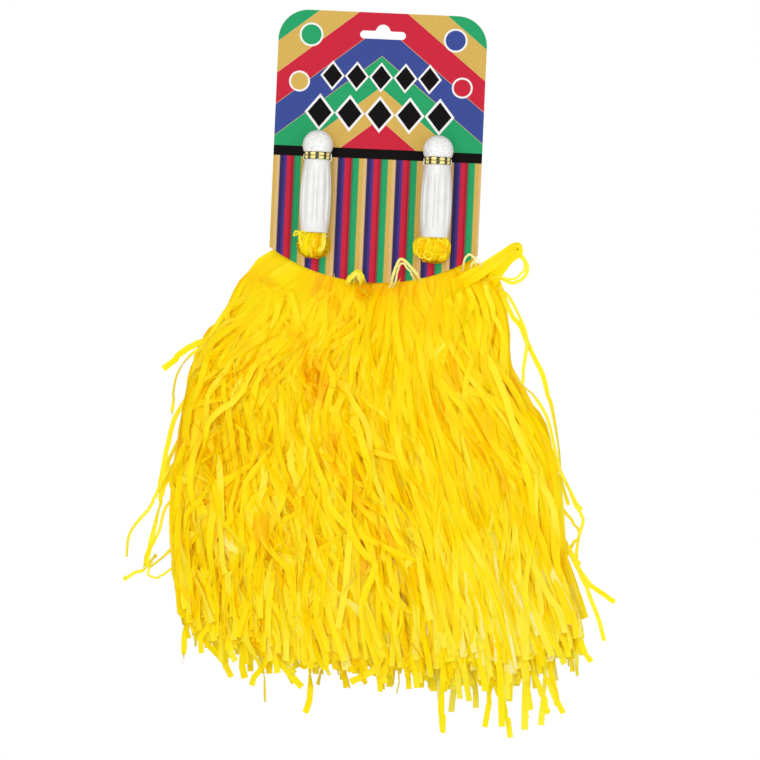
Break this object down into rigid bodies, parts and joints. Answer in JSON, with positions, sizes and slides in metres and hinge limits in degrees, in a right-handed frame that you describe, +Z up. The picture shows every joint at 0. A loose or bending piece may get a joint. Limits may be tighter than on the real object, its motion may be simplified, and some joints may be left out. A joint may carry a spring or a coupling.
{
  "type": "pair of cheer pom poms on a display card",
  "caption": "Two yellow film streamer pom poms with fluted white handles, tied to the front of a die-cut hanging card so that their skirts swing and sway below it.",
  "frame": {"origin": "top of the hang slot's peak, where a peg carries the card, midway through the card's thickness", "axes": "+Z up along the card, -Y out of the card's printed front, +X to the right seen from the front"},
  "size_m": [0.3156, 0.0678, 0.4865],
  "materials": {
    "card": "printed and coated board",
    "handle": "moulded, satin",
    "tie": "twisted metallic and black yarn",
    "tape": "clear tape",
    "film": "thin crinkled film"
  },
  "bodies": {
    "pack": {"display_card": "card", "handle_knob_left": "handle", "handle_knob_right": "handle", "handle_grip_left": "handle", "handle_grip_right": "handle", "neck_tie_left": "tie", "neck_tie_right": "tie", "film_roll_left": "film", "film_roll_right": "film", "roll_tape_left": "tape", "roll_tape_right": "tape", "film_bunch_left": "film", "film_bunch_right": "film"},
    "gather_left": {"film_gather_left": "film"},
    "gather_right": {"film_gather_right": "film"},
    "skirt_left": {"skirt_front_left": "film", "skirt_middle_left": "film", "skirt_back_left": "film"},
    "skirt_right": {"skirt_front_right": "film", "skirt_middle_right": "film", "skirt_back_right": "film"}
  },
  "joints": [
    {"name": "swing_left", "type": "hinge", "parent": "pack", "child": "gather_left", "pos_m": [-0.042, 0.0042, -0.1443], "axis": [1, 0, 0], "range_deg": [0, 35]},
    {"name": "swing_right", "type": "hinge", "parent": "pack", "child": "gather_right", "pos_m": [0.042, 0.0042, -0.1443], "axis": [1, 0, 0], "range_deg": [0, 35]},
    {"name": "sway_left", "type": "hinge", "parent": "gather_left", "child": "skirt_left", "pos_m": [-0.042, 0.0122, -0.1563], "axis": [0, 1, 0], "range_deg": [0, 20]},
    {"name": "sway_right", "type": "hinge", "parent": "gather_right", "child": "skirt_right", "pos_m": [0.042, 0.0122, -0.1563], "axis": [0, -1, 0], "range_deg": [0, 20]}
  ]
}
